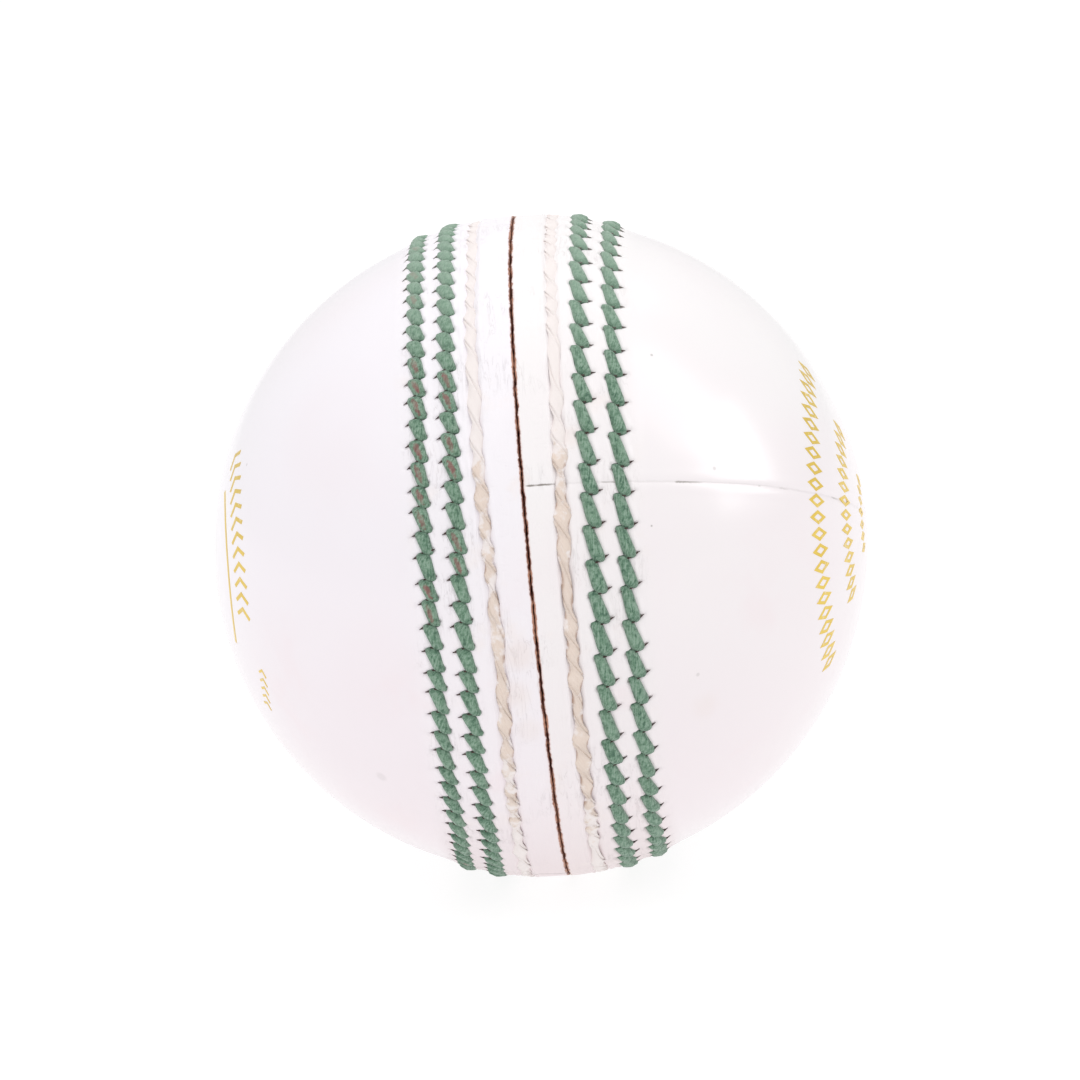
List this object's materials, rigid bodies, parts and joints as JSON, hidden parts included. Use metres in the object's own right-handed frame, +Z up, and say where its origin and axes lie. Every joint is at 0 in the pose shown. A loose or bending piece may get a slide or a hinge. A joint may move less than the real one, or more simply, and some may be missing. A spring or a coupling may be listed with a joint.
{
  "type": "cricket ball",
  "caption": "White leather cricket ball with a raised stitched seam over a wound cork and yarn core.",
  "frame": {"origin": "centre of the ball", "axes": "+X along the ball's axis, square to the plane of the seam, towards the right cup; +Z up, in the plane of the seam"},
  "size_m": [0.0716, 0.0732, 0.0732],
  "materials": {
    "cork_rubber": "moulded granulated cork in brown rubber, matt",
    "cork": "cut sheet cork, matt and speckled",
    "worsted_yarn": "tightly wound damp-set woollen yarn",
    "packing_cloth": "plain woven cotton tape, glued",
    "waxed_linen": "natural linen thread, waxed",
    "white_leather": "alum-tanned leather with a white polyurethane lacquer, satin",
    "green_thread": "dyed twisted linen thread, waxed",
    "gilt_film": "hot-stamped metallic gilt film"
  },
  "bodies": {
    "root": {"cork_rubber_centre": "cork_rubber", "cork_wrap_1": "cork", "yarn_winding_1": "worsted_yarn", "cork_wrap_2": "cork", "yarn_winding_2": "worsted_yarn", "cork_wrap_3": "cork", "yarn_winding_3": "worsted_yarn", "cork_wrap_4": "cork", "yarn_winding_4": "worsted_yarn", "cork_wrap_5": "cork", "yarn_winding_5": "worsted_yarn", "seam_packing": "packing_cloth", "quarter_tape_left": "packing_cloth", "quarter_tape_right": "packing_cloth", "quarter_stitches_left": "waxed_linen", "quarter_stitches_right": "waxed_linen", "leather_quarter_left_front": "white_leather", "leather_quarter_left_back": "white_leather", "leather_quarter_right_upper": "white_leather", "leather_quarter_right_lower": "white_leather", "closing_thread": "waxed_linen", "seam_row_left_inner": "green_thread", "seam_row_left_outer": "green_thread", "seam_row_right_inner": "green_thread", "seam_row_right_outer": "green_thread", "gilt_stamp_left": "gilt_film", "gilt_stamp_right": "gilt_film"}
  },
  "joints": []
}
